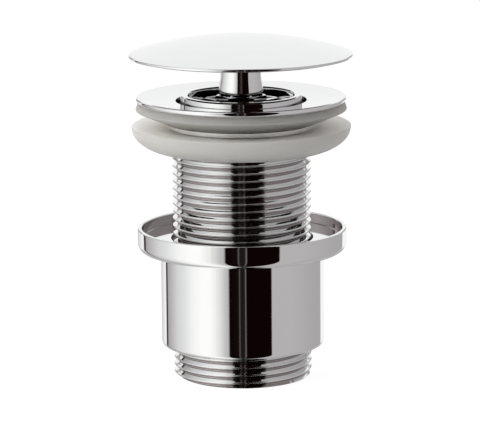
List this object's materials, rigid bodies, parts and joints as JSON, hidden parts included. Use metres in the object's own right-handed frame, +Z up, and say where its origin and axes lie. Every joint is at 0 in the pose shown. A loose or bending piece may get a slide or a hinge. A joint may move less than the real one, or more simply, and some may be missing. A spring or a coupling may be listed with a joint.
{
  "type": "free-flow basin waste",
  "caption": "Chromed basin waste that never closes: raised dome over an inlet grid, flanged threaded tail, soft seals and a screw-on cup sleeve with an outlet thread.",
  "frame": {"origin": "centre of the outlet end, at the bottom of the outlet thread", "axes": "+Z up along the axis of the waste, from the outlet to the dome"},
  "size_m": [0.0676, 0.0676, 0.1039],
  "materials": {
    "chrome": "polished chrome plate on brass",
    "seal": "milky translucent soft plastic, satin",
    "black_rubber": "moulded, satin",
    "steel": "rolled thread, dull",
    "bare_brass": "turned, unplated"
  },
  "bodies": {
    "waste_body": {"waste_body": "chrome", "flange_seal": "seal"},
    "dome_insert": {"dome_cap": "chrome", "dome_boss": "bare_brass", "cap_stem": "chrome", "stem_stud": "steel", "lock_nut": "chrome", "inlet_grid": "chrome", "grid_ring": "black_rubber"},
    "gasket": {"basin_gasket": "seal"},
    "sleeve_ring": {"sleeve_ring": "black_rubber"},
    "outlet_sleeve": {"outlet_sleeve": "chrome"}
  },
  "joints": [
    {"name": "insert_lift", "type": "slide", "parent": "waste_body", "child": "dome_insert", "axis": [0, 0, 1], "range_m": [0, 0.03]},
    {"name": "gasket_slide", "type": "slide", "parent": "waste_body", "child": "gasket", "axis": [0, 0, -1], "range_m": [0, 0.0064]},
    {"name": "sleeve_travel", "type": "slide", "parent": "waste_body", "child": "sleeve_ring", "axis": [0, 0, 1], "range_m": [-0.0066, 0.0196]},
    {"name": "sleeve_turn", "type": "hinge", "parent": "sleeve_ring", "child": "outlet_sleeve", "pos_m": [0, 0, 0.02], "axis": [0, 0, 1], "range_deg": [-1008, 3024]}
  ],
  "couplings": [
    {"joint": "sleeve_travel", "follows": "sleeve_turn", "m_per_rad": 0.00036749}
  ]
}
